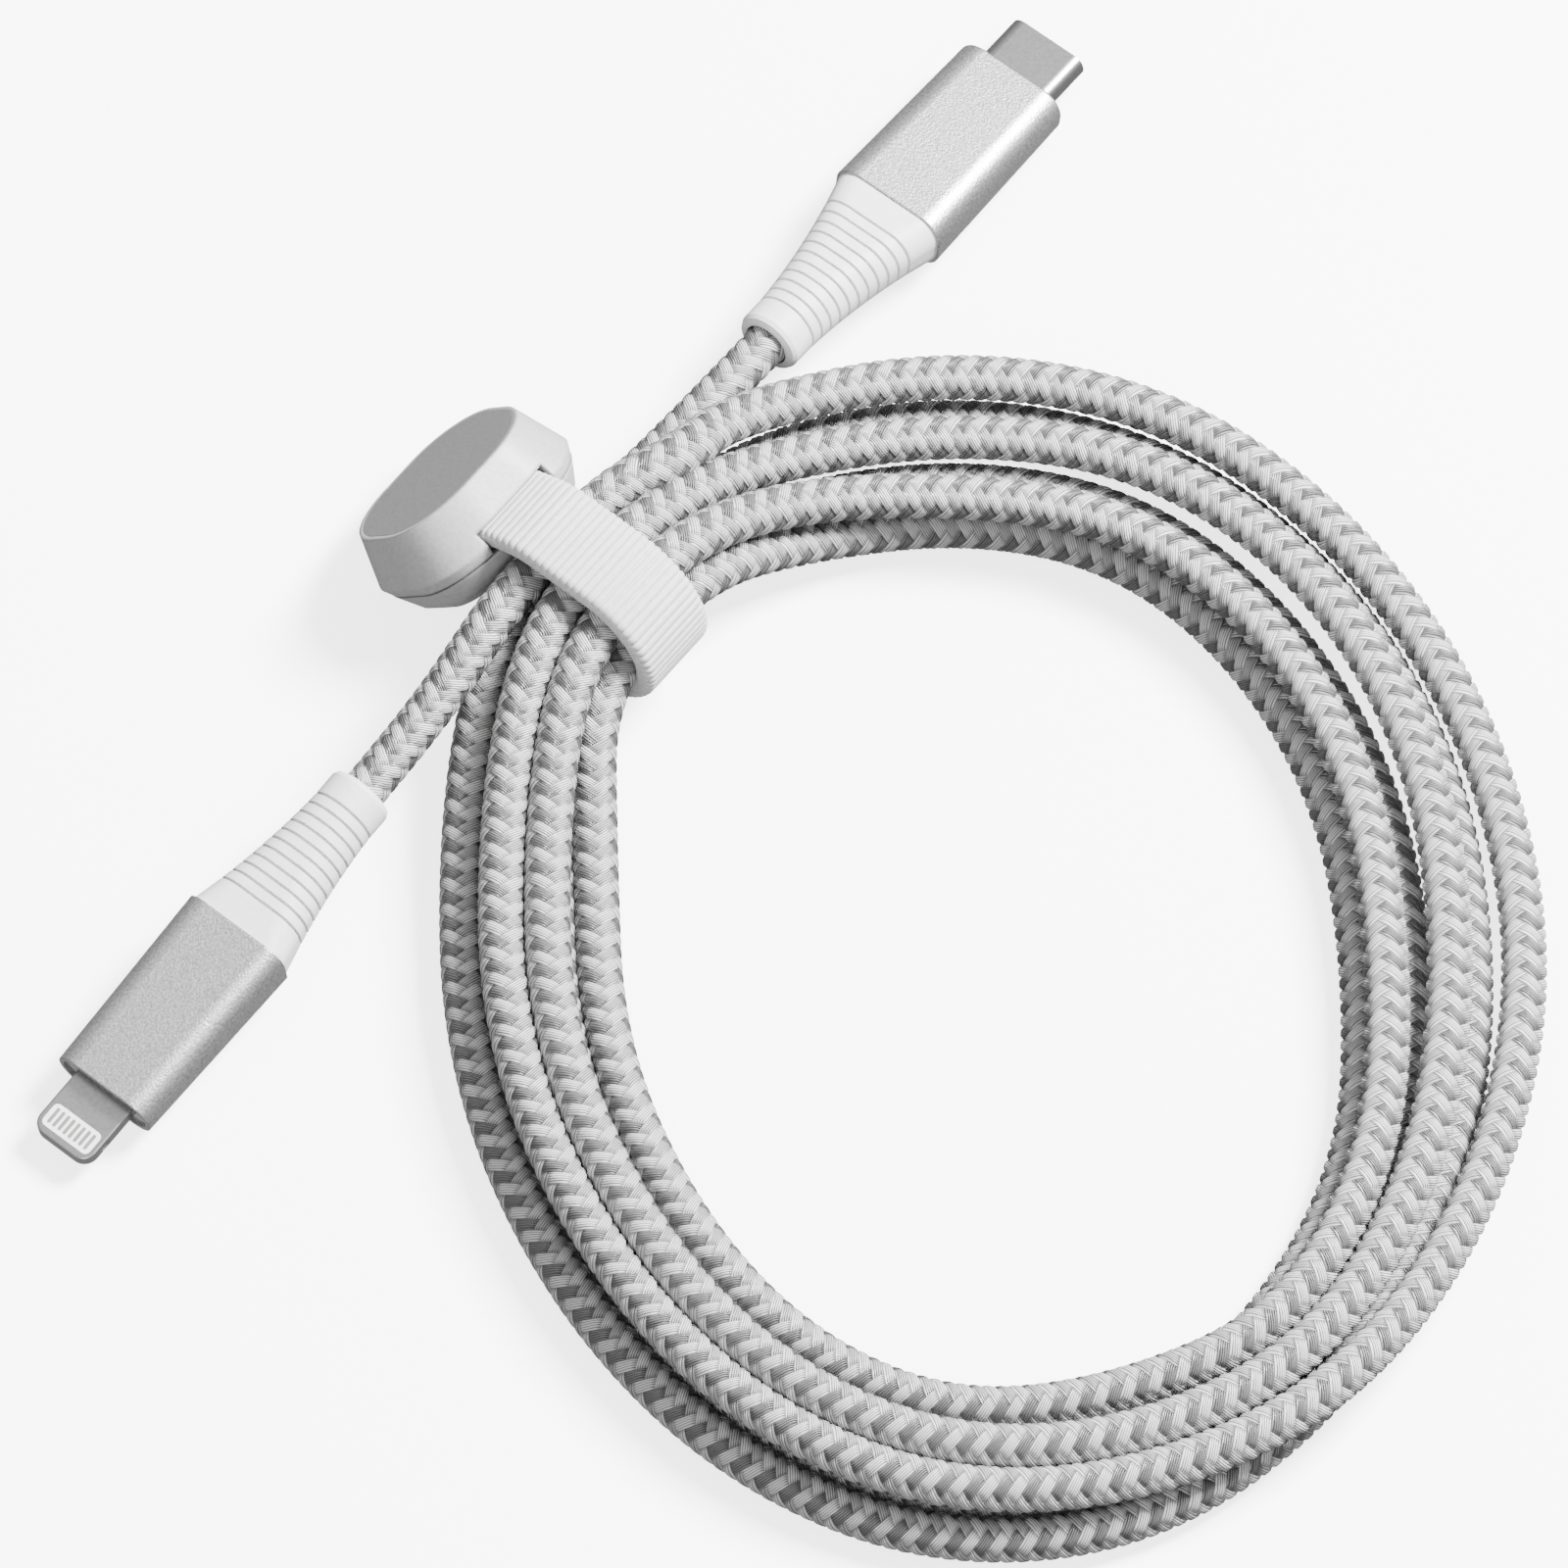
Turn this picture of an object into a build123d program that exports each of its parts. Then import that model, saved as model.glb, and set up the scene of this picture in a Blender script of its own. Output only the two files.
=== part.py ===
from build123d import *
import os
from math import cos, exp, hypot, pi, radians, sin, tan

# Braided charging cable: a USB-C plug at one end, an eight-contact plug at the other,
# wound into a coil of six turns and held by a ribbed strap with a magnetic clasp.
# Millimetres, +Z up, the table is z = 0, and the origin lies under the middle of the box
# that holds both plugs and the strap.

# ---------------------------------------------------------------- driving dimensions
CORD_D = 4.3

# USB-C plug, from the cord exit forward
USB_AZIMUTH = 52.5
USB_EXIT = (18.66, 22.65, 7.85)
USB_PITCH = 7.0
USB_BOOT = 18.9
USB_HOUSING = 19.5
USB_REAR = (12.2, 6.7, 2.4)
USB_FRONT = (11.8, 5.7, 2.5)
SHELL_EXPOSED = 5.8
SHELL_INSIDE = 7.0
SHELL_SIZE = (8.34, 2.56)
SHELL_WALL = 0.25
USB_CONTACT_ROWS = 12
USB_CONTACT_PITCH = 0.5

# Eight-contact plug, from the cord exit forward
PIN_AZIMUTH = 230.7
PIN_EXIT = (-18.68, -24.3, 7.75)
PIN_PITCH = 7.0
PIN_BOOT = 18.2
PIN_HOUSING = 19.6
PIN_REAR = (11.4, 6.6, 2.2)
PIN_FRONT = (10.9, 5.2, 2.45)
TAB_SIZE = (6.7, 1.5)
TAB_EXPOSED = 6.65
TAB_INSIDE = 6.0
PAD_COUNT = 8
PAD_PITCH = 0.62

# Parts that both plugs have
HOUSING_WALL = 0.55
BOOT_STEP = 0.25
BOOT_RINGS = 11
BOOT_GROOVE = 0.28
BOOT_GROOVE_DEPTH = 0.3
COLLAR_D = 6.5
COLLAR_BORE_DEPTH = 3.5
JACKET_D = 3.5
WIRE_D = 0.8
BOARD_THICK = 0.84

# Coil of six turns, seen from above
COIL_CENTRE = (39.3, -39.4)
COIL_OUTER = (51.5, 62.2)
COIL_INNER = (33.7, 43.8)
COIL_HEIGHT = 9.0
COIL_BULGE = (4.8, 3.0)
COIL_BULGE_SPREAD = 13.0

# Strap: its bundle direction, its middle on the table, and the loop in section
STRAP_AZIMUTH = 51.0
STRAP_CENTRE = (2.54, -4.55)
BAND_WIDTH = 8.8
BAND_THICK = 2.2
LOOP_BOTTOM = 2.0
LOOP_INSIDE = 12.2
LOOP_BEND_W = 2.3
LOOP_KNEE_W = -4.0
BUNDLE_W = (-6.9, 8.1)
CLASP_TILT = 37.0
DISC_CENTRE = (-18.6, 11.45)
DISC_SIZE = (17.0, 15.8)
DISC_THICK = 0.8
CAP_DEPTH = 6.5
BASE_DEPTH = 3.3
SLOT_GAP = 0.35
MAGNET_D = 9.0
MAGNET_THICK = 2.0
PLATE_THICK = 0.6

nodes = {}


# ---------------------------------------------------------------- helpers
def plug_place(exit_point, azimuth, pitch):
    """Where a plug lies: its x runs forward and slopes down to the table by the pitch."""
    a, p = radians(azimuth), radians(pitch)
    forward = Vector(cos(a) * cos(p), sin(a) * cos(p), -sin(p))
    up = Vector(cos(a) * sin(p), sin(a) * sin(p), cos(p))
    return Location(Plane(origin=exit_point, x_dir=forward, z_dir=up))


def section(x, width, height, corner):
    """A rounded rectangle across the plug at x."""
    corner = min(corner, width / 2 - 0.01, height / 2 - 0.01)
    return Plane.YZ.offset(x) * RectangleRounded(width, height, corner)


def skin(*sections):
    return loft(Sketch() + list(sections), ruled=True)


def bar(x0, x1, y, z, width, height, corner=None):
    """A straight bar along the plug, its section centred on (y, z)."""
    shape = Rectangle(width, height) if corner is None else RectangleRounded(width, height, corner)
    return Pos(0, y, z) * extrude(Plane.YZ.offset(x0) * shape, x1 - x0)


def rod(start, end, diameter):
    line = Edge.make_line(start, end)
    return sweep(Plane(origin=start, z_dir=line.tangent_at(0)) * Circle(diameter / 2), path=line)


def keep(name, shape, place=Location()):
    nodes[name] = place * shape


# ---------------------------------------------------------------- boots and housings
def boot(length, rear_of_housing, bore_d):
    """Tapered strain relief: racetrack at the housing, round at the cord, with ring grooves."""
    width, height, corner = rear_of_housing
    wide = (width - 2 * BOOT_STEP, height - 2 * BOOT_STEP, corner)
    collar = 2.9
    lead = 2.2
    pitch = (length - collar - lead) / BOOT_RINGS

    def size(x, inset=0.0):
        u = min(max((x - collar) / (length - collar), 0.0), 1.0)
        flare = 0.35 * u + 0.65 * u * u
        w = COLLAR_D + (wide[0] - COLLAR_D) * flare - 2 * inset
        h = COLLAR_D + (wide[1] - COLLAR_D) * flare - 2 * inset
        r = COLLAR_D / 2 + (wide[2] - COLLAR_D / 2) * flare - inset
        return w, h, r

    rim = 0.6
    parts = [section(0, *size(0, rim)), section(0.2, *size(0, 0.2)), section(rim, *size(0))]
    for i in range(BOOT_RINGS):
        x = collar + i * pitch
        parts += [section(x, *size(x)), section(x + 0.02, *size(x, BOOT_GROOVE_DEPTH))]
        x += BOOT_GROOVE
        parts += [section(x, *size(x, BOOT_GROOVE_DEPTH)), section(x + 0.02, *size(x))]
    parts.append(section(length, *size(length)))
    body = skin(*parts)
    bore = bar(-1, COLLAR_BORE_DEPTH, 0, 0, bore_d, bore_d, bore_d / 2 - 0.01)
    jacket = bar(0, length + 1, 0, 0, JACKET_D, JACKET_D, JACKET_D / 2 - 0.01)
    return body - bore - jacket


def housing_shapes(start, length, rear, front, inset):
    """The housing's outside, shrunk by inset all round."""
    rear_in = (rear[0] - 2 * inset, rear[1] - 2 * inset, max(rear[2] - inset, 0.4))
    front_in = (front[0] - 2 * inset, front[1] - 2 * inset, max(front[2] - inset, 0.4))
    return skin(section(start, *rear_in), section(start + length, *front_in))


def plug_core(name, place, start, board_x, board_width, cavity, rest):
    """Board, wires, crimp, stripped jacket and the moulding that fills the cavity round them."""
    crimp_x = (start + 1.5, start + 5.0)
    gap = 0.03
    board = bar(board_x[0], board_x[1], 0, 0, board_width, BOARD_THICK)
    jacket = bar(COLLAR_BORE_DEPTH, crimp_x[1] - 0.6, 0, 0, JACKET_D - gap, JACKET_D - gap,
                 JACKET_D / 2 - 0.03)
    crimp_d = JACKET_D + 0.7
    crimp = bar(*crimp_x, 0, 0, crimp_d, crimp_d, crimp_d / 2 - 0.01)
    crimp -= bar(crimp_x[0] - 1, crimp_x[1] + 1, 0, 0, JACKET_D, JACKET_D, JACKET_D / 2 - 0.01)
    wires = Part()
    solder_z = BOARD_THICK / 2 + WIRE_D / 2
    for i, (y0, z0) in enumerate(((-0.6, -0.6), (-0.6, 0.6), (0.6, 0.6), (0.6, -0.6))):
        y1 = (i - 1.5) * 1.5
        begin = (crimp_x[1] - 0.4, y0, z0)
        bend = (board_x[0] - 0.3, y1, solder_z)
        end = (board_x[0] + 1.2, y1, solder_z)
        wires += rod(begin, bend, WIRE_D) + Pos(*bend) * Sphere(WIRE_D / 2) + rod(bend, end, WIRE_D)
    mould = cavity
    for part in [board, jacket, crimp, wires] + rest:
        mould -= part
    mould -= bar(crimp_x[1] - 0.6, crimp_x[1], 0, 0, JACKET_D, JACKET_D, JACKET_D / 2 - 0.01)
    keep(f"{name}_board", board, place)
    keep(f"{name}_cable_jacket_end", jacket, place)
    keep(f"{name}_crimp_ferrule", crimp, place)
    keep(f"{name}_wires", wires, place)
    keep(f"{name}_inner_mould", mould, place)


# ---------------------------------------------------------------- USB-C plug
def usb_c_plug():
    place = plug_place(USB_EXIT, USB_AZIMUTH, USB_PITCH)
    rear_x = USB_BOOT
    front_x = USB_BOOT + USB_HOUSING
    tip_x = front_x + SHELL_EXPOSED
    width, height = SHELL_SIZE
    inner_w, inner_h = width - 2 * SHELL_WALL, height - 2 * SHELL_WALL
    shell_rear = front_x - SHELL_INSIDE

    shell = bar(shell_rear, tip_x, 0, 0, width, height, height / 2 - 0.01)
    shell -= bar(shell_rear - 1, tip_x + 1, 0, 0, inner_w, inner_h, inner_h / 2 - 0.01)
    keep("usb_c_shell", shell, place)

    cavity_w, cavity_h, gap = 6.9, 1.14, 0.03
    insulator_rear = front_x - 4.0
    insulator = bar(insulator_rear, tip_x - 0.4, 0, 0, inner_w - 2 * gap, inner_h - 2 * gap,
                    inner_h / 2 - 0.05)
    insulator -= bar(insulator_rear - 1, tip_x + 1, 0, 0, cavity_w, cavity_h)
    keep("usb_c_insulator", insulator, place)

    board_front = insulator_rear - 0.1
    strip_t = (cavity_h - BOARD_THICK) / 2
    strips = Part()
    for side in (-1, 1):
        z = side * (cavity_h - strip_t) / 2
        for i in range(USB_CONTACT_ROWS):
            y = (i - (USB_CONTACT_ROWS - 1) / 2) * USB_CONTACT_PITCH
            strips += bar(board_front - 1.6, tip_x - 1.3, y, z, 0.26, strip_t)
    keep("usb_c_contacts", strips, place)

    latches = Part()
    for side in (-1, 1):
        y = side * (cavity_w / 2 - 0.1)
        latches += bar(insulator_rear, tip_x - 1.6, y, 0, 0.2, 0.6)
    keep("usb_c_latch_springs", latches, place)

    board_x = (rear_x + 8.2, board_front)
    chips = Part()
    for x, y, size in ((1.9, -2.2, (0.6, 0.3, 0.3)), (1.9, 2.2, (0.6, 0.3, 0.3)),
                       (3.2, 0.0, (1.6, 1.6, 0.55))):
        chips += Pos(board_x[0] + x + 0.4, y, -BOARD_THICK / 2 - size[2] / 2) * Box(*size)
    keep("usb_c_board_components", chips, place)

    outside = housing_shapes(rear_x, USB_HOUSING, USB_REAR, USB_FRONT, 0)
    inside = housing_shapes(rear_x, USB_HOUSING, USB_REAR, USB_FRONT, HOUSING_WALL)
    front_wall = 0.8
    inside -= bar(front_x - front_wall, front_x + 1, 0, 0, 20, 20)
    hole = bar(front_x - 2, front_x + 1, 0, 0, width + 0.06, height + 0.06, height / 2)
    keep("usb_c_housing", fillet_front(outside, front_x) - inside - hole, place)
    cavity = inside - bar(rear_x - 1, rear_x + 0.03, 0, 0, 20, 20)
    cavity -= bar(front_x - front_wall - 0.03, front_x + 1, 0, 0, 20, 20)
    shell_space = bar(shell_rear, front_x, 0, 0, width, height, height / 2 - 0.01)
    shrunk = housing_shapes(rear_x, USB_HOUSING, USB_REAR, USB_FRONT, HOUSING_WALL + 0.03)
    cavity = cavity & shrunk
    plug_core("usb_c", place, rear_x, board_x, 6.6, cavity, [shell_space, chips, strips])
    keep("usb_c_boot", boot(USB_BOOT, USB_REAR, CORD_D + 0.3), place)


def fillet_front(solid, x):
    """Break the sharp rim of a housing at x."""
    rim = solid.faces().sort_by(Axis.X)[-1].edges()
    return fillet(rim, 0.3)


# ---------------------------------------------------------------- eight-contact plug
def eight_pin_plug():
    place = plug_place(PIN_EXIT, PIN_AZIMUTH, PIN_PITCH)
    rear_x = PIN_BOOT
    front_x = PIN_BOOT + PIN_HOUSING
    tip_x = front_x + TAB_EXPOSED
    width, thick = TAB_SIZE
    tab_rear = front_x - TAB_INSIDE

    length = tip_x - tab_rear
    nose = 1.5
    outline = Pos((tab_rear + tip_x) / 2, 0) * Rectangle(length, width)
    outline = fillet(outline.vertices().group_by(Axis.X)[-1], nose)
    tab = Pos(0, 0, -thick / 2) * extrude(outline, thick)
    rims = tab.faces().sort_by(Axis.Z)[-1].edges() + tab.faces().sort_by(Axis.Z)[0].edges()
    tab = fillet(rims.filter_by(lambda edge: edge.center().X > front_x), 0.25)
    notch_r = 0.75
    notch_depth = 0.42
    notch_back = 2.75
    for side in (-1, 1):
        y = side * (width / 2 + notch_r - notch_depth)
        tab -= Pos(tip_x - notch_back, y, 0) * Sphere(notch_r)
    window = (2.5, 5.6)
    window_x = tip_x - 0.75 - window[0] / 2
    hole = Pos(window_x, 0, -thick) * extrude(RectangleRounded(*window, 0.55), 2 * thick)
    keep("eight_pin_tab", tab - hole, place)

    pads = Part()
    pad = (1.75, 0.36, 0.16)
    for side in (-1, 1):
        for i in range(PAD_COUNT):
            y = (i - (PAD_COUNT - 1) / 2) * PAD_PITCH
            blank = RectangleRounded(pad[0], pad[1], pad[1] / 2 - 0.01)
            low = thick / 2 - pad[2] if side > 0 else -thick / 2
            pads += Pos(window_x, y, low) * extrude(blank, pad[2])
    keep("eight_pin_contacts", pads, place)
    inlay = Pos(window_x, 0, -thick / 2) * extrude(
        RectangleRounded(window[0] - 0.02, window[1] - 0.02, 0.54), thick)
    keep("eight_pin_insulator", inlay - pads, place)

    outside = housing_shapes(rear_x, PIN_HOUSING, PIN_REAR, PIN_FRONT, 0)
    inside = housing_shapes(rear_x, PIN_HOUSING, PIN_REAR, PIN_FRONT, HOUSING_WALL)
    keep("eight_pin_housing", outside - inside, place)

    shrunk = housing_shapes(rear_x, PIN_HOUSING, PIN_REAR, PIN_FRONT, HOUSING_WALL + 0.03)
    insert_x = (front_x - 2.4, front_x - 0.45)
    insert = shrunk & bar(*insert_x, 0, 0, 20, 20)
    tab_space = bar(tab_rear, front_x + 1, 0, 0, width, thick)
    insert -= bar(tab_rear, front_x + 1, 0, 0, width + 0.06, thick + 0.06)
    keep("eight_pin_front_insert", insert, place)

    board_x = (rear_x + 7.2, tab_rear - 0.1)
    chips = Part()
    for x, y, side, size in ((3.3, 0.0, 1, (1.9, 2.6, 0.6)), (3.3, 0.0, -1, (1.6, 1.6, 0.5)),
                             (3.3, 2.4, -1, (0.6, 0.3, 0.3)), (3.3, -2.4, -1, (0.6, 0.3, 0.3))):
        z = side * (BOARD_THICK / 2 + size[2] / 2)
        chips += Pos(board_x[0] + x, y, z) * Box(*size)
    keep("eight_pin_board_components", chips, place)
    cavity = shrunk & bar(rear_x + 0.03, insert_x[0] - 0.03, 0, 0, 20, 20)
    plug_core("eight_pin", place, rear_x, board_x, 6.4, cavity, [tab_space, chips])
    keep("eight_pin_boot", boot(PIN_BOOT, PIN_REAR, CORD_D + 0.3), place)


# ---------------------------------------------------------------- strap and clasp
STRAP_T = Vector(cos(radians(STRAP_AZIMUTH)), sin(radians(STRAP_AZIMUTH)), 0)
STRAP_W = Vector(STRAP_T.Y, -STRAP_T.X, 0)
# local x is w, local y is up, and local z is against the bundle direction
STRAP_PLANE = Plane(origin=(*STRAP_CENTRE, 0), x_dir=STRAP_W, z_dir=-STRAP_T)
LOOP_TOP = LOOP_BOTTOM + LOOP_INSIDE + 2 * BAND_THICK
LOOP_MIDDLE = (LOOP_BOTTOM + LOOP_TOP) / 2
BEND_R = (LOOP_TOP - LOOP_BOTTOM) / 2
HINGE_W = LOOP_BEND_W + BEND_R


def clasp_point(depth, along):
    """(w, z) at a depth under the disc's face and a distance along it, upwards."""
    a = radians(CLASP_TILT)
    w = DISC_CENTRE[0] + depth * cos(a) + along * sin(a)
    z = DISC_CENTRE[1] - depth * sin(a) + along * cos(a)
    return w, z


def clasp_plane(depth):
    """Plane parallel to the disc: local x is up along it, local y along the bundle."""
    w, z = clasp_point(depth, 0)
    a = radians(CLASP_TILT)
    up = STRAP_W * sin(a) + Vector(0, 0, cos(a))
    normal = STRAP_W * -cos(a) + Vector(0, 0, sin(a))
    centre = Vector(*STRAP_CENTRE, 0) + STRAP_W * w + Vector(0, 0, z)
    return Plane(origin=centre, x_dir=up, z_dir=normal)


def slab(depth, width, length, corner):
    return clasp_plane(depth) * RectangleRounded(width, length, corner)


def band(upper, gap=0.0, reach=1.0):
    """Half of the ribbed band; with a gap and a shorter reach, the mouth of its slot."""
    t = BAND_THICK
    half = LOOP_TOP - t / 2 if upper else LOOP_BOTTOM + t / 2
    side = 1 if upper else -1
    bend = (LOOP_BEND_W, half)
    corner = radians(45)
    middle = (LOOP_BEND_W + (BEND_R - t / 2) * cos(corner),
              LOOP_MIDDLE + side * (BEND_R - t / 2) * sin(corner))
    tip = (LOOP_BEND_W + BEND_R - t / 2, LOOP_MIDDLE + side * 0.02)
    end = clasp_point(3.6, 5.6) if upper else clasp_point(CAP_DEPTH + BASE_DEPTH - 1.2, 0.6)
    knee = (LOOP_KNEE_W, half)
    end = [k + reach * (e - k) for k, e in zip(knee, end)]
    straight = Edge.make_line((*bend, 0), (*knee, 0))
    lead = Edge.make_spline([(*knee, 0), (*end, 0)],
                            tangents=[(-1, 0, 0), (end[0] - knee[0], end[1] - knee[1], 0)])
    bend_arc = Edge.make_three_point_arc((*tip, 0), (*middle, 0), (*bend, 0))
    path = Wire([bend_arc, straight, lead])
    strip = trace(Curve() + list(path.edges()), t + 2 * gap)
    return STRAP_PLANE * extrude(strip, BAND_WIDTH / 2 + gap, both=True)


def strap():
    top = 0.5
    flare = 1.5
    rim = (DISC_SIZE[1] + 2 * top, DISC_SIZE[0] + 2 * top)
    seam = (rim[0] + 2 * flare, rim[1] + 2 * flare)
    seam_gap = 0.15
    cap = loft(Sketch() + [slab(0, *rim, 7.0), slab(CAP_DEPTH - 1.2, *seam, 7.6)])
    cap += loft(Sketch() + [slab(CAP_DEPTH - 1.2, *seam, 7.6),
                            slab(CAP_DEPTH - seam_gap, seam[0] - 1.0, seam[1] - 1.0, 7.1)])
    disc = extrude(slab(-0.02, DISC_SIZE[1], DISC_SIZE[0], 6.6), -DISC_THICK)
    cap_magnet = extrude(clasp_plane(CAP_DEPTH - 0.9) * Circle(MAGNET_D / 2), MAGNET_THICK)
    base = loft(Sketch() + [slab(CAP_DEPTH, seam[0] - 1.0, seam[1] - 1.0, 7.1),
                            slab(CAP_DEPTH + BASE_DEPTH - 0.9, seam[0] - 4.6, seam[1] - 3.2, 6.0)])
    base += loft(Sketch() + [slab(CAP_DEPTH + BASE_DEPTH - 0.9, seam[0] - 4.6, seam[1] - 3.2, 6.0),
                             slab(CAP_DEPTH + BASE_DEPTH, seam[0] - 7.4, seam[1] - 5.2, 5.0)])
    base_plate = extrude(clasp_plane(CAP_DEPTH + 0.8) * Circle(MAGNET_D / 2), PLATE_THICK)
    upper, lower = band(True), band(False)
    keep("strap_band_upper", upper)
    keep("strap_band_lower", lower)
    keep("clasp_cap", cap - disc - cap_magnet - upper - band(True, SLOT_GAP, 0.75))
    keep("clasp_disc", disc)
    keep("clasp_cap_magnet", cap_magnet)
    keep("clasp_base", base - base_plate - lower)
    keep("clasp_base_steel_plate", base_plate)


# ---------------------------------------------------------------- cord
def tail(name, route, share):
    """A tube along straight runs joined by tangent arcs, as large as the runs allow."""
    points = [Vector(*p) for p in route]
    radii = []
    for a, b, c in zip(points, points[1:], points[2:]):
        turn = radians((b - a).get_angle(c - b))
        radii.append(share * min((b - a).length, (c - b).length) / tan(turn / 2))
    path = FilletPolyline(*points, radius=radii)
    start = Plane(origin=path @ 0, z_dir=path % 0)
    tube = sweep(start * Circle(CORD_D / 2), path=path)
    expected = path.length * pi * CORD_D ** 2 / 4
    print(name, "length", round(path.length, 1), "radii", [round(r, 1) for r in radii],
          "volume ratio", round(tube.volume / expected, 4))
    keep(name, tube)


def inside_plug(exit_point, azimuth, pitch, depth):
    """A point on the plug's axis, forward of the cord exit."""
    a, p = radians(azimuth), radians(pitch)
    return (exit_point[0] + depth * cos(a) * cos(p), exit_point[1] + depth * sin(a) * cos(p),
            exit_point[2] - depth * sin(p))


def cord():
    in_boot = COLLAR_BORE_DEPTH - 0.1
    pin_route = [inside_plug(PIN_EXIT, PIN_AZIMUTH, PIN_PITCH, in_boot), (-13.5, -18.1, 9.1),
                 (-8.7, -11.6, 11.7), (-5.5, -7.4, 13.2)]
    usb_route = [inside_plug(USB_EXIT, USB_AZIMUTH, USB_PITCH, in_boot), (13.8, 16.1, 8.9),
                 (8.1, 9.9, 9.6), (3.2, 5.1, 9.3)]
    tail("cord_tail_eight_pin", pin_route, 0.45)
    tail("cord_tail_usb_c", usb_route, 0.45)
    keep("cord_coil", coil())


def coil_outline(semi_axes, bulge):
    """Closed curve round the coil: an ellipse that bulges towards the strap."""
    to_strap = Vector(*STRAP_CENTRE) - Vector(*COIL_CENTRE)
    strap_angle = to_strap.get_signed_angle(Vector(1, 0), Vector(0, 0, -1))
    points = []
    for step in range(30):
        angle = step * 360 / 30
        away = (angle - strap_angle + 180) % 360 - 180
        c, s = cos(radians(angle)), sin(radians(angle))
        reach = 1 / hypot(c / semi_axes[0], s / semi_axes[1])
        reach += bulge * exp(-(away / COIL_BULGE_SPREAD) ** 2)
        points.append((COIL_CENTRE[0] + reach * c, COIL_CENTRE[1] + reach * s))
    return make_face(Spline(*points, periodic=True))


def coil():
    """The outer shape of the six turns: a flat ring that rises to pass through the strap."""
    plan = coil_outline(COIL_OUTER, COIL_BULGE[1]) - coil_outline(COIL_INNER, COIL_BULGE[0])
    low = LOOP_BOTTOM + BAND_THICK + 0.35
    high = LOOP_TOP - BAND_THICK - 0.35
    reach, wide = 24.0, 30.0
    flat = BAND_WIDTH / 2 + 1.6
    along = Plane(origin=(*STRAP_CENTRE, 0), x_dir=STRAP_T, z_dir=STRAP_W)
    far = extrude(plan, COIL_HEIGHT) - along * extrude(Rectangle(2 * reach, 60), wide, both=True)
    side_view = Polygon((-reach, 0), (-reach, COIL_HEIGHT), (-flat, high), (flat, high),
                        (reach, COIL_HEIGHT), (reach, 0), (reach - 4, 0), (flat, low),
                        (-flat, low), (4 - reach, 0), align=None)
    near = extrude(plan, high) & (along * extrude(side_view, wide, both=True))
    zone = STRAP_PLANE * extrude(Rectangle(80, 60), flat + 1.5, both=True)
    middle = (sum(BUNDLE_W) / 2, (low + high) / 2)
    passage = Pos(*middle) * RectangleRounded(BUNDLE_W[1] - BUNDLE_W[0], high - low, 5.6)
    near -= zone - STRAP_PLANE * extrude(passage, flat + 1.5, both=True)
    return far + near


# ---------------------------------------------------------------- build
usb_c_plug()
eight_pin_plug()
strap()
cord()

own = [shape for node, shape in nodes.items() if not node.startswith("cord")]
box = Compound(children=[s for shape in own for s in shape.solids()]).bounding_box()
print("plugs and strap from", box.min, "to", box.max)
for node, shape in nodes.items():
    export_step(shape, f"parts/{node}.step")
    print(node, len(shape.solids()), "solids", round(shape.volume, 2), "mm3")
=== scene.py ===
from math import cos, pi, radians, sin

import bpy
import numpy as np
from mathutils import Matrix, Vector


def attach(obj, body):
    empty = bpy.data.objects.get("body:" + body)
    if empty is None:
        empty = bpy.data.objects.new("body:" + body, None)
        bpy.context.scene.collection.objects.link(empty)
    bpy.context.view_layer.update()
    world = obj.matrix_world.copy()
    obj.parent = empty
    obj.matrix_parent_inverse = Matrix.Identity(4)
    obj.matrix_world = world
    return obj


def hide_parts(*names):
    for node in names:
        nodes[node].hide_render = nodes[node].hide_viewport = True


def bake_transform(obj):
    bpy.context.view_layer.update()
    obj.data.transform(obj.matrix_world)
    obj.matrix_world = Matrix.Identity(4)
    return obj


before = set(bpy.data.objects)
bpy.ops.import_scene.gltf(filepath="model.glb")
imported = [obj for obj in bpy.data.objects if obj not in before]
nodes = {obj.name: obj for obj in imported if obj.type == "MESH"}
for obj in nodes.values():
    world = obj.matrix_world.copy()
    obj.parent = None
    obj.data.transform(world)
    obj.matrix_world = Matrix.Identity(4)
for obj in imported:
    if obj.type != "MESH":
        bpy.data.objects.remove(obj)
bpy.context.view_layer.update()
MM = 0.001

# ---------------------------------------------------------------- shared sizes, millimetres
CORD_D = 4.3
STRAP_AZIMUTH = 51.0
STRAP_CENTRE = (2.54, -4.55)
BAND_WIDTH = 8.8
BAND_THICK = 2.2
LOOP_BOTTOM = 2.0
LOOP_INSIDE = 12.2
LOOP_BEND_W = 2.3
LOOP_KNEE_W = -4.0
BEND_R = LOOP_INSIDE / 2 + BAND_THICK
LOOP_MIDDLE = LOOP_BOTTOM + BEND_R
T_DIR = np.array([cos(radians(STRAP_AZIMUTH)), sin(radians(STRAP_AZIMUTH)), 0.0])
W_DIR = np.array([T_DIR[1], -T_DIR[0], 0.0])
UP = np.array([0.0, 0.0, 1.0])
STRAP_BASE = np.array([*STRAP_CENTRE, 0.0])


def in_strap(w, z, t=0.0):
    """A point in the strap's own directions: across the bundle, up, and along it."""
    return STRAP_BASE + w * W_DIR + z * UP + t * T_DIR


# ---------------------------------------------------------------- materials
def new_material(name, colour, roughness, metallic=0.0, **inputs):
    mat = bpy.data.materials.new(name)
    mat.use_nodes = True
    shader = mat.node_tree.nodes["Principled BSDF"]
    shader.inputs["Base Color"].default_value = (*colour, 1)
    shader.inputs["Roughness"].default_value = roughness
    shader.inputs["Metallic"].default_value = metallic
    for key, value in inputs.items():
        shader.inputs[key.replace("_", " ")].default_value = value
    return mat


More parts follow.
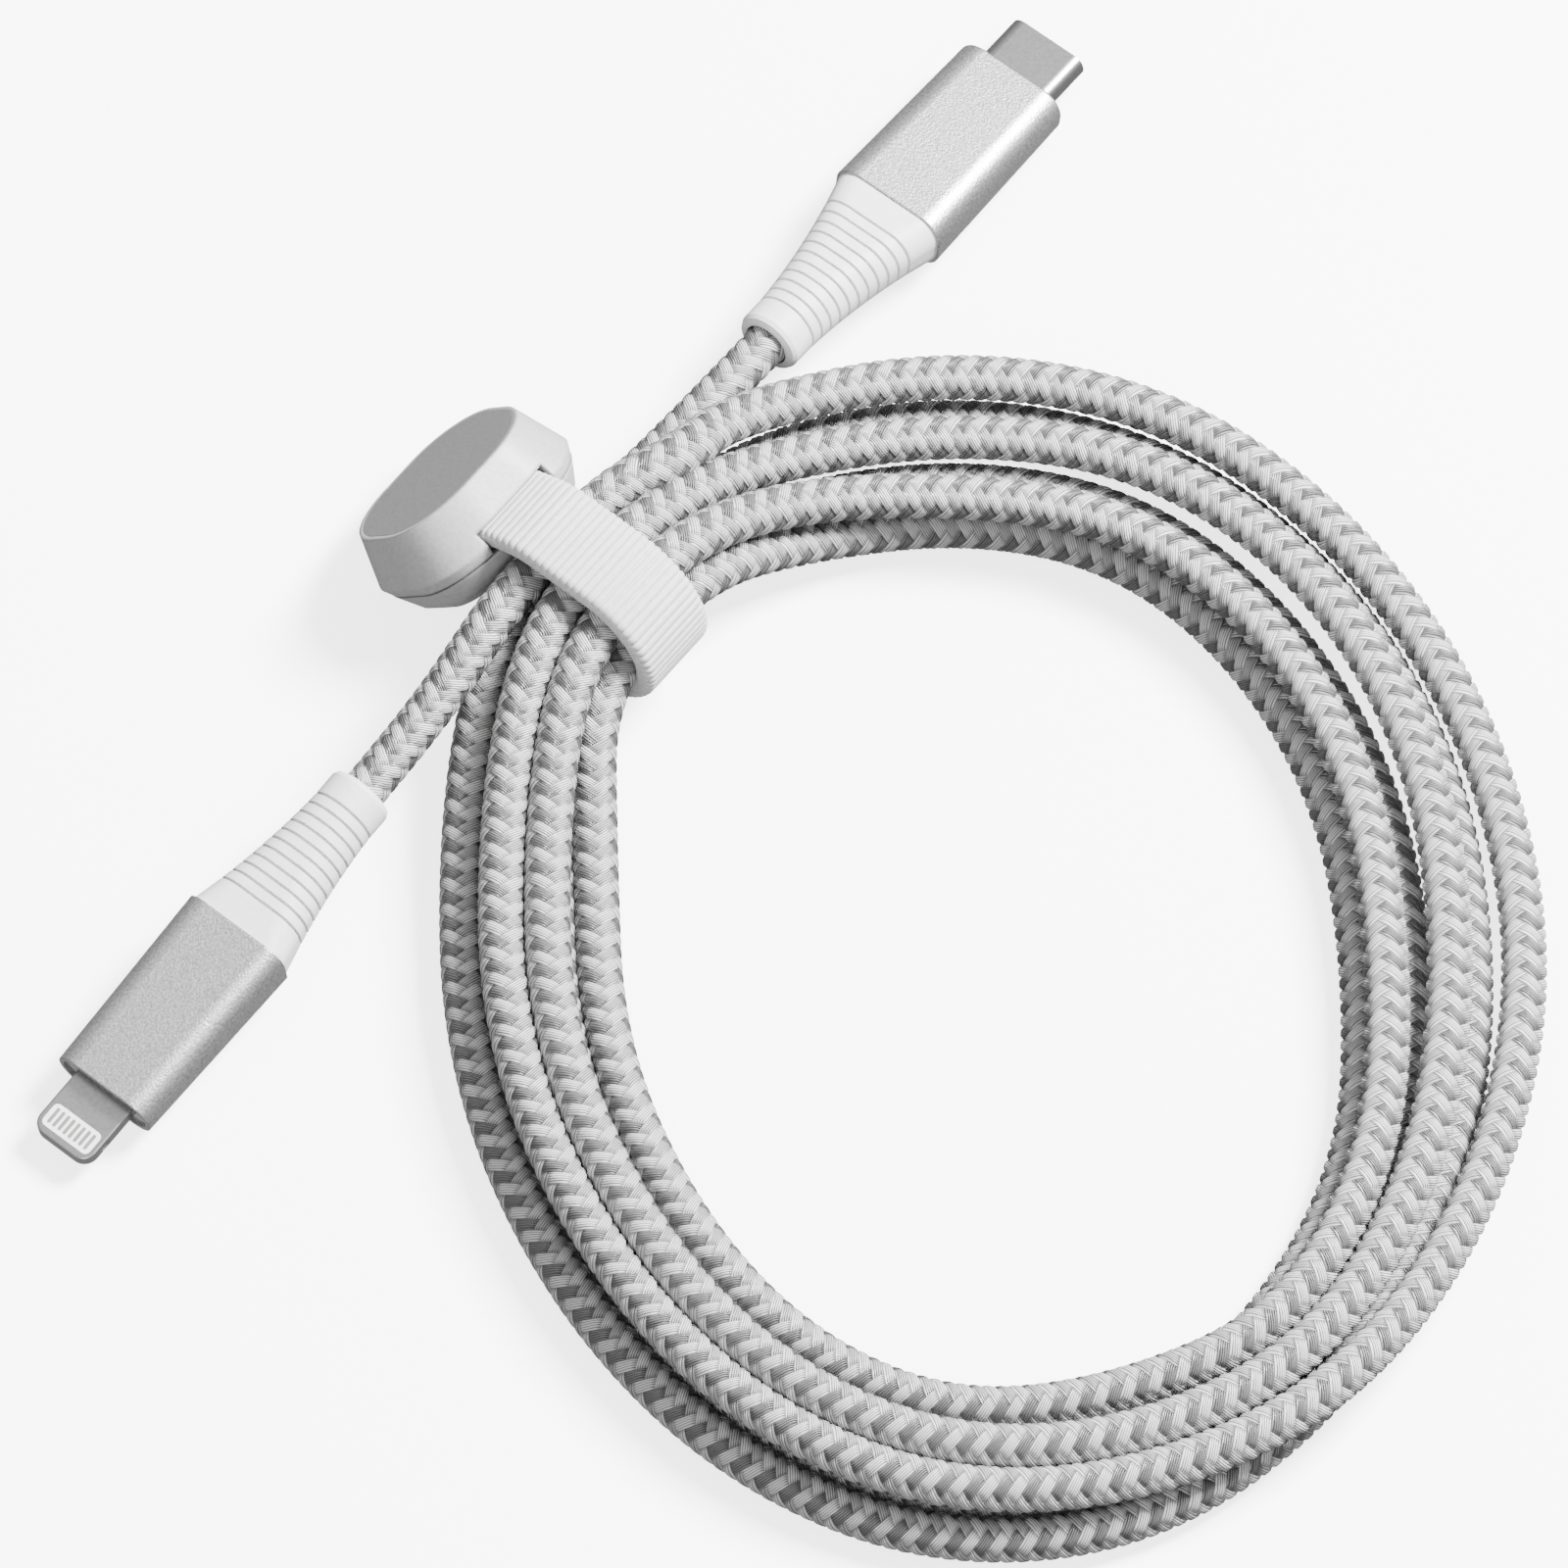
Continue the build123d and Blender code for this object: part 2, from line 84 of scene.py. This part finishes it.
def add_node(mat, kind, **settings):
    node = mat.node_tree.nodes.new(kind)
    for key, value in settings.items():
        if key in node.inputs:
            node.inputs[key].default_value = value
        else:
            setattr(node, key, value)
    return node


def link(mat, output, target):
    mat.node_tree.links.new(output, target)


def grain(mat, scale, distance, colours=None, strength=1.0, detail=3.0, stretch=(1, 1, 1),
          edge=0.0):
    """Fine surface grain as bump and as a colour speckle, with softened edges if asked."""
    shader = mat.node_tree.nodes["Principled BSDF"]
    coords = add_node(mat, "ShaderNodeTexCoord")
    mapping = add_node(mat, "ShaderNodeMapping", Scale=stretch)
    noise = add_node(mat, "ShaderNodeTexNoise", Scale=scale, Detail=detail, Roughness=0.6)
    bump = add_node(mat, "ShaderNodeBump", Strength=strength, Distance=distance)
    link(mat, coords.outputs["Object"], mapping.inputs["Vector"])
    link(mat, mapping.outputs["Vector"], noise.inputs["Vector"])
    link(mat, noise.outputs["Fac"], bump.inputs["Height"])
    link(mat, bump.outputs["Normal"], shader.inputs["Normal"])
    if edge:
        bevel = add_node(mat, "ShaderNodeBevel", Radius=edge)
        link(mat, bevel.outputs["Normal"], bump.inputs["Normal"])
    if colours:
        ramp = add_node(mat, "ShaderNodeValToRGB")
        ramp.color_ramp.elements[0].position = 0.35
        ramp.color_ramp.elements[1].position = 0.65
        for element, colour in zip(ramp.color_ramp.elements, colours):
            element.color = (*colour, 1)
        link(mat, noise.outputs["Fac"], ramp.inputs["Fac"])
        link(mat, ramp.outputs["Color"], shader.inputs["Base Color"])
    return mat


def aluminium():
    mat = new_material("bead_blasted_aluminium", (0.52, 0.52, 0.53), 0.36, 0.95)
    return grain(mat, 4200, 0.00006, ((0.36, 0.36, 0.364), (0.62, 0.62, 0.624)), 0.7,
                 edge=0.0002)


def steel(name, roughness):
    mat = new_material(name, (0.42, 0.42, 0.425), roughness, 1.0)
    return grain(mat, 2600, 0.00001, ((0.38, 0.38, 0.385), (0.46, 0.46, 0.465)), 0.3,
                 stretch=(1, 1, 6))


def elastomer():
    mat = new_material("boot_elastomer", (0.62, 0.62, 0.62), 0.5)
    return grain(mat, 1500, 0.00003, ((0.60, 0.60, 0.60), (0.65, 0.65, 0.65)), 0.35)


def silicone():
    mat = new_material("strap_silicone", (0.50, 0.50, 0.50), 0.55)
    return grain(mat, 1900, 0.00003, ((0.47, 0.47, 0.47), (0.53, 0.53, 0.53)), 0.4)


def clasp_plastic():
    mat = new_material("clasp_plastic", (0.40, 0.40, 0.40), 0.42)
    return grain(mat, 2300, 0.00004, ((0.33, 0.33, 0.33), (0.39, 0.39, 0.39)), 0.5, edge=0.0005)


def disc_paint():
    mat = new_material("clasp_disc_paint", (0.17, 0.17, 0.17), 0.6, 0.0, Specular_IOR_Level=0.05)
    return grain(mat, 3000, 0.00002, ((0.16, 0.16, 0.16), (0.19, 0.19, 0.19)), 0.4)


def plain(name, colour, roughness, metallic=0.0, scale=1200):
    """Small and inner pieces: a moulded or plated finish with a faint grain."""
    mat = new_material(name, colour, roughness, metallic)
    dark = tuple(0.9 * c for c in colour)
    return grain(mat, scale, 0.00002, (dark, colour), 0.3)


YARNS = 5


def braid():
    """White and grey nylon yarn: u runs across a ribbon of yarns, v along one float of it."""
    mat = new_material("cord_braid", (0.8, 0.8, 0.8), 0.36, Anisotropic=0.85,
                       Specular_IOR_Level=0.9, Anisotropic_Rotation=0.25)
    shader = mat.node_tree.nodes["Principled BSDF"]
    along = add_node(mat, "ShaderNodeTangent", direction_type="UV_MAP", uv_map="yarn")
    link(mat, along.outputs["Tangent"], shader.inputs["Tangent"])
    uv = add_node(mat, "ShaderNodeUVMap", uv_map="yarn")
    split = add_node(mat, "ShaderNodeSeparateXYZ")
    yarns = add_node(mat, "ShaderNodeMath", operation="MULTIPLY")
    yarns.inputs[1].default_value = YARNS * pi
    wave = add_node(mat, "ShaderNodeMath", operation="SINE")
    ridge = add_node(mat, "ShaderNodeMath", operation="ABSOLUTE")
    link(mat, uv.outputs["UV"], split.inputs["Vector"])
    link(mat, split.outputs["X"], yarns.inputs[0])
    link(mat, yarns.outputs[0], wave.inputs[0])
    link(mat, wave.outputs[0], ridge.inputs[0])
    # Painted shade: each float's colour darkens to half towards its two ends, where it dives under
    # the next ribbon
    float_end = add_node(mat, "ShaderNodeMath", operation="PINGPONG")
    float_end.inputs[1].default_value = 0.5
    float_end_painted_shade = add_node(mat, "ShaderNodeMapRange", interpolation_type="SMOOTHSTEP")
    float_end_painted_shade.inputs["From Max"].default_value = 0.22
    float_end_painted_shade.inputs["To Min"].default_value = 0.5
    link(mat, split.outputs["Y"], float_end.inputs[0])
    link(mat, float_end.outputs[0], float_end_painted_shade.inputs["Value"])
    bump = add_node(mat, "ShaderNodeBump", Strength=0.8, Distance=0.00008)
    link(mat, ridge.outputs[0], bump.inputs["Height"])
    link(mat, bump.outputs["Normal"], shader.inputs["Normal"])
    tone = add_node(mat, "ShaderNodeAttribute", attribute_name="tone")
    # Painted shade: the colour darkens in the gaps between the yarns, down to 0.12 of the ribbon's
    # tone
    yarn_gap_painted_shade = add_node(mat, "ShaderNodeMapRange")
    yarn_gap_painted_shade.inputs["From Max"].default_value = 0.9
    yarn_gap_painted_shade.inputs["To Min"].default_value = 0.12
    link(mat, ridge.outputs[0], yarn_gap_painted_shade.inputs["Value"])
    mix = add_node(mat, "ShaderNodeMix", data_type="RGBA", blend_type="MULTIPLY")
    mix.inputs["Factor"].default_value = 1.0
    link(mat, tone.outputs["Color"], mix.inputs["A"])
    # The painted shades in the yarn gaps and at the float ends together multiply the ribbon's tone
    both = add_node(mat, "ShaderNodeMath", operation="MULTIPLY")
    link(mat, yarn_gap_painted_shade.outputs["Result"], both.inputs[0])
    link(mat, float_end_painted_shade.outputs["Result"], both.inputs[1])
    link(mat, both.outputs[0], mix.inputs["B"])
    link(mat, mix.outputs["Result"], shader.inputs["Base Color"])
    return mat


# ---------------------------------------------------------------- the cord's route
# Two short tails, each given as listed points, and six turns between them worked out in a loop.
PIN_TAIL = [(-20.80, -26.91, 7.34), (-13.5, -18.1, 9.1), (-8.7, -11.6, 11.7)]
USB_TAIL = [(8.0, 10.1, 8.3), (13.6, 16.5, 8.2), (20.70, 25.31, 7.43)]
# The first turn comes off the strap over the USB-C tail: a point across, up and along the
# strap there, and its height at the first station after it
OVER_TAIL = (-1.6, 13.8, 14.0)
FIRST_STATION_HEIGHT = 8.6

# Where each pass lies in the strap, in order: across the bundle, and its height
PASSES = [(-4.6, 13.4), (-0.3, 13.9), (4.0, 13.9), (6.2, 10.1), (3.0, 6.9), (-1.3, 6.5),
          (-5.2, 9.2)]
STRAP_REACH = 7.5

# The line the outermost turn follows on the table: an ellipse, its centre and half axes
RING_CENTRE = (40.53, -39.38)
RING_AXES = (47.77, 58.32)
STRAP_ANGLE = 142.4
STATION_STEP = 24
STATIONS = np.arange(STATION_STEP, 360, STATION_STEP)

# How far inside that line each turn runs, from the top clockwise to the left by eighths
TURNS = [(-0.3, 0.4, -0.7, 1.0, 2.6, 3.5, 1.7), (5.8, 5.2, 6.1, 4.6, 7.0, 7.6, 5.6),
         (13.0, 13.0, 13.2, 8.2, 11.4, 11.9, 9.6), (12.9, 14.4, 14.2, 9.6, 8.0, 8.8, 6.9),
         (8.6, 10.3, 10.3, 5.3, 3.4, 4.5, 2.6), (1.2, 4.4, 5.0, 1.2, -0.8, 0.3, -1.5)]
KNOTS = tuple(STRAP_ANGLE - 90 + 45 * n for n in range(7))
# The spline cuts inside its corners, so the control points stand this much further out
CORNER_GAIN = 1 / cos(radians(STATION_STEP / 2))

# Settling the turns: how far heights count towards a gap, which leaves room at the crossings,
# then the shares of an overlap, of the way back and of a bend taken up in each round, and the
# fall in a round, in millimetres
RISE = 0.78
ROUNDS = 500
SHOVE = 0.35
RETURN = 0.05
STIFFNESS = 0.075
FALL = 0.06
UPPER_LAYER = (1, 1, 1, 0, 0, 0)
# The strap holds the lower turns up by its own bottom, over about this many degrees
LIFT_REACH = 25.0


def slot_point(number, t):
    return in_strap(*PASSES[number], t)


def slot_inset(number):
    """The strap slot's distance inside the coil's outer line."""
    return PASSES[number][0] + 0.4


def ring_point(inset, angle):
    """A point of the coil at an angle clockwise from the strap, inside the outer line."""
    a = radians(STRAP_ANGLE - angle)
    reach = [CORNER_GAIN * (axis - inset) for axis in RING_AXES]
    return np.array([RING_CENTRE[0] + reach[0] * cos(a), RING_CENTRE[1] + reach[1] * sin(a), 0.0])


def wanted_insets():
    """The inset of each turn at each station, eased from one knot to the next."""
    knots = [0, *KNOTS, 360]
    insets = np.zeros((len(TURNS), len(STATIONS)))
    for k, turn in enumerate(TURNS):
        values = [slot_inset(k), *turn, slot_inset(k + 1)]
        for n, angle in enumerate(STATIONS):
            leg = np.searchsorted(knots, angle) - 1
            share = (angle - knots[leg]) / (knots[leg + 1] - knots[leg])
            eased = (1 - np.cos(pi * share)) / 2
            insets[k, n] = values[leg] + eased * (values[leg + 1] - values[leg])
    return insets


def settle_turns():
    """Lay the turns on the table and on each other: an inset and a height at every station."""
    wanted = wanted_insets()
    away = np.minimum(STATIONS, 360 - STATIONS)
    lift = (LOOP_BOTTOM + BAND_THICK) * np.exp(-(away / LIFT_REACH) ** 2)
    floor = np.tile(CORD_D / 2 + lift, (len(TURNS), 1))
    floor[0, 0] = FIRST_STATION_HEIGHT
    heights = floor + np.array(UPPER_LAYER)[:, None] * CORD_D * sin(radians(60))
    place = np.stack([wanted, heights], axis=-1)
    for _ in range(ROUNDS):
        push = np.zeros_like(place)
        for i in range(len(TURNS)):
            for j in range(i + 1, len(TURNS)):
                gap = place[i] - place[j]
                far = np.maximum(np.hypot(gap[:, 0], RISE * gap[:, 1]), 0.05)
                shove = np.maximum(CORD_D - far, 0)[:, None] * gap / far[:, None] * SHOVE
                push[i] += shove
                push[j] -= shove
        place += push
        place[:, :, 0] += RETURN * (wanted - place[:, :, 0])
        height = place[:, :, 1]
        height -= FALL
        height[:, 1:-1] += STIFFNESS * (height[:, 2:] + height[:, :-2] - 2 * height[:, 1:-1])
        np.maximum(height, floor, out=height)
    return place


def cord_route():
    place = settle_turns()
    points = [np.array(p) for p in PIN_TAIL]
    for k in range(len(PASSES)):
        points += [slot_point(k, -STRAP_REACH), slot_point(k, STRAP_REACH)]
        if k == 0:
            points.append(in_strap(*OVER_TAIL))
        if k < len(TURNS):
            for n, angle in enumerate(STATIONS):
                point = ring_point(place[k, n, 0], angle)
                points.append(point + place[k, n, 1] * UP)
    return points + [np.array(p) for p in USB_TAIL]


def nurbs_line(points):
    """The smooth line through the route's control points, as Blender's own NURBS gives it."""
    curve = bpy.data.curves.new("route", "CURVE")
    curve.dimensions = "3D"
    curve.resolution_u = 16
    spline = curve.splines.new("NURBS")
    spline.points.add(len(points) - 1)
    for target, p in zip(spline.points, points):
        target.co = (*(p * MM), 1)
    spline.order_u = 3
    spline.use_endpoint_u = True
    holder = bpy.data.objects.new("route", curve)
    bpy.context.collection.objects.link(holder)
    bpy.context.view_layer.update()
    line = bpy.data.meshes.new_from_object(holder)
    co = np.array([v.co for v in line.vertices])
    bpy.data.objects.remove(holder)
    return co


def resample(line, step):
    """Evenly spaced points along a line, and their distances."""
    legs = np.linalg.norm(np.diff(line, axis=0), axis=1)
    keep = np.concatenate([[True], legs > 1e-9])
    line = line[keep]
    legs = np.linalg.norm(np.diff(line, axis=0), axis=1)
    at = np.concatenate([[0], np.cumsum(legs)])
    wanted = np.arange(0, at[-1], step)
    return np.stack([np.interp(wanted, at, line[:, c]) for c in range(3)], axis=1), at[-1]


def carried_frames(centres):
    """Two cross directions at each centre, carried along the line without twist."""
    tangents = np.gradient(centres, axis=0)
    tangents /= np.linalg.norm(tangents, axis=1)[:, None]
    side = np.cross(tangents[0], UP)
    side /= np.linalg.norm(side)
    sides = np.empty_like(centres)
    for n, t in enumerate(tangents):
        side = side - t * (side @ t)
        side /= np.linalg.norm(side)
        sides[n] = side
    return sides, np.cross(tangents, sides)


# ---------------------------------------------------------------- the braid
CARRIERS = 12
LAY = 7.8 * MM
# Mesh faces across a ribbon of yarns
CELL = 4
BASE_R = 1.90 * MM
PILLOW = 0.26 * MM
# Tones of the yarns: half the ribbons are white, the others grey one way round and pale the other.
# The white and the grey are the braid's own; the paler grey of the second way round is painted
# sheen, standing for the brighter sheen of its fibres in that direction
WHITE = 0.52
PALE_WITH_PAINTED_SHEEN = 0.31
GREY = 0.095
TONES = 4096


def smooth_line(line, rounds):
    for _ in range(rounds):
        line[1:-1] = (line[:-2] + 2 * line[1:-1] + line[2:]) / 4
    return line


def ribbon_on_top(p, q):
    """For a lattice cell: which diagonal ribbon is on top, both ribbons' numbers, and the phase."""
    i, j = p // CELL, q // CELL
    phase = (i - j) % 4
    return phase <= 1, i, j, phase


def place_on_float(first, phase, u, v):
    """Across the ribbon on top, and along its float over two others, each from 0 to 1."""
    across = np.where(first, u, v)
    along = np.where(first, np.where(phase == 0, 0.5 + v / 2, v / 2),
                     np.where(phase == 3, 0.5 + u / 2, u / 2))
    return across, along


def braid_lattice(rows, around):
    """The diagonal lattice's indices p and q, and whether a row is odd, for every vertex."""
    r = np.arange(rows)[:, None]
    k = np.arange(around)[None, :]
    odd = r % 2
    return (r + 2 * k + odd) // 2, (r - 2 * k - odd) // 2, 2 * k + odd


def braid_vertices(centres, p, q, place):
    """The lattice wrapped round the line, pillowed up where a ribbon floats on top."""
    first, _, _, phase = ribbon_on_top(p, q)
    across, along = place_on_float(first, phase, (p % CELL) / CELL, (q % CELL) / CELL)
    height = (1 - np.abs(2 * across - 1) ** 5) * np.sin(pi * along) ** 0.35
    radius = (BASE_R + PILLOW * height)[..., None]
    angle = (2 * pi * place / (CARRIERS * CELL))[..., None]
    sides, ups = carried_frames(centres)
    ring = np.cos(angle) * sides[:, None, :] + np.sin(angle) * ups[:, None, :]
    return centres[:, None, :] + radius * ring


def paint_yarns(mesh, p, q):
    """Each face's place on its ribbon as UVs, and its ribbon's tone as a colour, with painted sheen
    in the paler ribbons.
    """
    first, i, j, phase = ribbon_on_top(p, q)
    corner_p = np.stack([p, p + 1, p + 1, p], axis=-1)
    corner_q = np.stack([q, q, q + 1, q + 1], axis=-1)
    place = place_on_float(first[..., None], phase[..., None],
                           corner_p / CELL - i[..., None], corner_q / CELL - j[..., None])
    layer = mesh.uv_layers.new(name="yarn")
    layer.data.foreach_set("uv", np.stack(place, axis=-1).astype(np.float32).ravel())
    number = np.where(first, i, j)
    # The grey ribbons of the second way round are paler: painted sheen
    shade = np.where(number % 2 == 0, np.where(first, GREY, PALE_WITH_PAINTED_SHEEN), WHITE)
    wobble = np.random.default_rng(7).uniform(0.94, 1.0, TONES)
    tone = shade * wobble[(number * 31 + (i + j) // 2 * 17) % TONES]
    colour = np.repeat(tone.reshape(-1, 1), 4, axis=1).astype(np.float32)
    colour[:, 3] = 1
    tones = mesh.attributes.new("tone", "FLOAT_COLOR", "CORNER")
    tones.data.foreach_set("color", np.repeat(colour, 4, axis=0).ravel())


def braided_cord(route):
    """Twelve ribbons of yarn, two over and two under, meshed on their own diagonal lattice."""
    centres, length = resample(nurbs_line(route), LAY / (CARRIERS * CELL))
    centres = smooth_line(centres, 20)
    rows, around = len(centres), CARRIERS * CELL // 2
    p, q, place = braid_lattice(rows, around)
    co = braid_vertices(centres, p, q, place)
    ids = np.arange(rows * around).reshape(rows, around)
    r0, k0 = np.meshgrid(np.arange(rows - 2), np.arange(around), indexing="ij")
    shift = r0 % 2
    left = ids[r0 + 1, (k0 - 1 + shift) % around]
    right = ids[r0 + 1, (k0 + shift) % around]
    quads = np.stack([ids[r0, k0], right, ids[r0 + 2, k0], left], axis=-1).reshape(-1, 4)
    mesh = bpy.data.meshes.new("braided_cord")
    mesh.from_pydata(co.reshape(-1, 3).tolist(), [], quads.tolist())
    mesh.update()
    paint_yarns(mesh, p[r0, k0], q[r0, k0])
    mesh.polygons.foreach_set("use_smooth", np.ones(len(mesh.polygons), bool))
    mesh.materials.append(braid())
    obj = bpy.data.objects.new("braided_cord", mesh)
    bpy.context.collection.objects.link(obj)
    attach(obj, "root")
    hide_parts("cord_coil", "cord_tail_eight_pin", "cord_tail_usb_c")
    print("cord length, mm", round(length / MM, 1), "faces", len(mesh.polygons))


braided_cord(cord_route())


# ---------------------------------------------------------------- the strap's ribbed band
CLASP_TILT = radians(37.0)
DISC_CENTRE = (-18.6, 11.45)
CAP_DEPTH = 6.5
BASE_DEPTH = 3.3
RIB_PITCH = 0.75
RIB_DEPTH = 0.24
RIB_STEPS = 8
BAND_EDGE = 0.75


def clasp_point(depth, along):
    """Across the bundle and up, at a depth under the disc and a distance along it."""
    return np.array([DISC_CENTRE[0] + depth * cos(CLASP_TILT) + along * sin(CLASP_TILT),
                     DISC_CENTRE[1] - depth * sin(CLASP_TILT) + along * cos(CLASP_TILT)])


def band_lead(side, end):
    """From inside the clasp to the loop's straight run, as a smooth curve."""
    half = BEND_R - BAND_THICK / 2
    knee = np.array([LOOP_KNEE_W, LOOP_MIDDLE + side * half])
    chord = end - knee
    reach = np.linalg.norm(chord)
    t = np.linspace(1, 0, 40)[:, None]
    start_pull = np.array([-reach, 0.0])
    return ((2 * t**3 - 3 * t**2 + 1) * knee + (t**3 - 2 * t**2 + t) * start_pull
            + (3 * t**2 - 2 * t**3) * end + (t**3 - t**2) * chord)


def band_path():
    """The band's middle line in section, from the cap over the bundle to the base."""
    half = BEND_R - BAND_THICK / 2
    bend = np.linspace(pi / 2, -pi / 2, 60)[:, None]
    arc = np.array([LOOP_BEND_W, LOOP_MIDDLE]) + half * np.hstack([np.cos(bend), np.sin(bend)])
    upper = band_lead(1, clasp_point(3.6, 5.6))
    lower = band_lead(-1, clasp_point(CAP_DEPTH + BASE_DEPTH - 1.2, 0.6))
    return np.concatenate([upper, arc, lower[::-1]])


def band_section():
    """Round the band: across it, through it (1 outside), and how much of a rib it carries."""
    flat = BAND_WIDTH / 2 - BAND_EDGE
    thick = BAND_THICK / 2 - BAND_EDGE
    turns = np.linspace(0, pi / 2, 5)
    points = []
    for sx, sy, angles in ((1, 1, turns[::-1]), (1, -1, turns), (-1, -1, turns[::-1]),
                           (-1, 1, turns)):
        for a in angles:
            points.append((sx * (flat + BAND_EDGE * cos(a)), sy * (thick + BAND_EDGE * sin(a))))
    points = np.array(points)
    rib = np.clip(points[:, 1] / (BAND_THICK / 2), 0, 1) ** 0.5
    return points, rib


def ribbed_band():
    step = RIB_PITCH / RIB_STEPS * MM
    line = np.array([in_strap(w, z) for w, z in band_path()]) * MM
    line, length = resample(line, step)
    tangents = np.gradient(line, axis=0)
    tangents /= np.linalg.norm(tangents, axis=1)[:, None]
    outward = np.cross(tangents, T_DIR)
    points, rib = band_section()
    phase = (np.arange(len(line)) % RIB_STEPS) / RIB_STEPS
    dip = RIB_DEPTH * (1 - np.abs(np.sin(pi * phase)) ** 0.55)
    through = points[None, :, 1] - dip[:, None] * rib[None, :]
    across = points[None, :, 0] - np.sign(points[None, :, 0]) * dip[:, None] * (rib > 0) * 0.4
    co = line[:, None, :] + MM * (across[..., None] * T_DIR + through[..., None] * outward[:, None])
    rows, around = len(line), len(points)
    ids = np.arange(rows * around).reshape(rows, around)
    nxt = np.roll(ids, -1, axis=1)
    quads = np.stack([ids[:-1], ids[1:], nxt[1:], nxt[:-1]], axis=-1).reshape(-1, 4).tolist()
    quads += [ids[0].tolist(), ids[-1, ::-1].tolist()]
    mesh = bpy.data.meshes.new("ribbed_band")
    mesh.from_pydata(co.reshape(-1, 3).tolist(), [], quads)
    mesh.update()
    mesh.polygons.foreach_set("use_smooth", np.ones(len(mesh.polygons), bool))
    mesh.materials.append(silicone())
    obj = bpy.data.objects.new("ribbed_band", mesh)
    bpy.context.collection.objects.link(obj)
    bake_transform(obj)
    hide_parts("strap_band_upper", "strap_band_lower")


ribbed_band()


# ---------------------------------------------------------------- CAD nodes' finishes
def finish_nodes():
    boot, housing, shell = elastomer(), aluminium(), steel("connector_steel", 0.24)
    tab = steel("tab_steel", 0.3)
    plastic, paint = clasp_plastic(), disc_paint()
    looks = {
        "usb_c_boot": boot, "eight_pin_boot": boot,
        "usb_c_housing": housing, "eight_pin_housing": housing,
        "usb_c_shell": shell, "usb_c_latch_springs": shell, "eight_pin_tab": tab,
        "clasp_cap": plastic, "clasp_base": plastic, "clasp_disc": paint,
        "eight_pin_insulator": plain("pad_inlay", (0.88, 0.88, 0.88), 0.4),
        "eight_pin_front_insert": plain("front_insert", (0.55, 0.55, 0.55), 0.5),
        "usb_c_insulator": plain("shell_insulator", (0.03, 0.03, 0.03), 0.5),
    }
    pads = plain("contact_plating", (0.70, 0.69, 0.66), 0.3, 1.0)
    inner = {
        "board": plain("board_mask", (0.03, 0.16, 0.08), 0.4),
        "board_components": plain("chip_epoxy", (0.02, 0.02, 0.02), 0.5),
        "wires": plain("wire_insulation", (0.5, 0.06, 0.05), 0.45),
        "crimp_ferrule": plain("crimp_brass", (0.65, 0.5, 0.22), 0.35, 1.0),
        "cable_jacket_end": plain("cable_jacket", (0.7, 0.7, 0.7), 0.5),
        "inner_mould": plain("inner_mould", (0.72, 0.72, 0.70), 0.5),
        "contacts": pads,
    }
    looks["clasp_cap_magnet"] = plain("magnet_plating", (0.66, 0.66, 0.66), 0.25, 1.0)
    looks["clasp_base_steel_plate"] = plain("plate_steel", (0.5, 0.5, 0.5), 0.35, 1.0)
    for name, obj in nodes.items():
        mat = looks.get(name) or inner.get(name.replace("usb_c_", "").replace("eight_pin_", ""))
        if mat:
            obj.data.materials.clear()
            obj.data.materials.append(mat)


finish_nodes()


# ---------------------------------------------------------------- floor, light, camera
FLOOR_GLOW = 3.2
HORIZON = 0.4
ZENITH = 1.0
# Name, place from the middle of the view, width and power
LAMPS = (("key", (0.42, 0.22, 0.62), 0.26, 41.0), ("front", (-0.1, -0.55, 0.45), 0.30, 2.0))
CAMERA_TARGET = (20.35, -19.55, 0.0)
CAMERA_ELEVATION = 63.0
CAMERA_DISTANCE = 2.2
VIEW_WIDTH = 146.1 * MM


def stage():
    bpy.ops.mesh.primitive_plane_add(size=12, location=(0, 0, -0.0002))
    floor = bpy.context.object
    floor.name = "studio_floor"
    pale = new_material("pale_floor", (0.93, 0.93, 0.93), 0.9, Emission_Color=(1, 1, 1, 1),
                        Emission_Strength=FLOOR_GLOW)
    floor.data.materials.append(pale)
    # It glows white for the camera and takes shadows, and lights nothing from below
    floor.visible_diffuse = floor.visible_glossy = False
    world = bpy.data.worlds.new("studio")
    world.use_nodes = True
    sky = world.node_tree
    background = sky.nodes["Background"]
    coords = sky.nodes.new("ShaderNodeTexCoord")
    split = sky.nodes.new("ShaderNodeSeparateXYZ")
    ramp = sky.nodes.new("ShaderNodeValToRGB")
    low, high = ramp.color_ramp.elements
    low.position, low.color = 0.12, (*[HORIZON] * 3, 1)
    high.position, high.color = 0.75, (*[ZENITH] * 3, 1)
    sky.links.new(coords.outputs["Generated"], split.inputs["Vector"])
    sky.links.new(split.outputs["Z"], ramp.inputs["Fac"])
    sky.links.new(ramp.outputs["Color"], background.inputs["Color"])
    bpy.context.scene.world = world
    centre = Vector(CAMERA_TARGET) * MM
    for name, offset, size, power in LAMPS:
        data = bpy.data.lights.new(name, "AREA")
        data.size = size
        data.energy = power
        lamp = bpy.data.objects.new(name, data)
        lamp.location = centre + Vector(offset)
        lamp.rotation_euler = (-Vector(offset)).to_track_quat("-Z", "Y").to_euler()
        bpy.context.collection.objects.link(lamp)


def camera():
    data = bpy.data.cameras.new("camera")
    data.sensor_width = 36
    data.lens = data.sensor_width * CAMERA_DISTANCE / VIEW_WIDTH
    data.clip_start = 0.01
    cam = bpy.data.objects.new("camera", data)
    e = radians(CAMERA_ELEVATION)
    cam.location = Vector(CAMERA_TARGET) * MM + CAMERA_DISTANCE * Vector((0, -cos(e), sin(e)))
    cam.rotation_euler = (pi / 2 - e, 0, 0)
    bpy.context.collection.objects.link(cam)
    bpy.context.scene.camera = cam


stage()
camera()
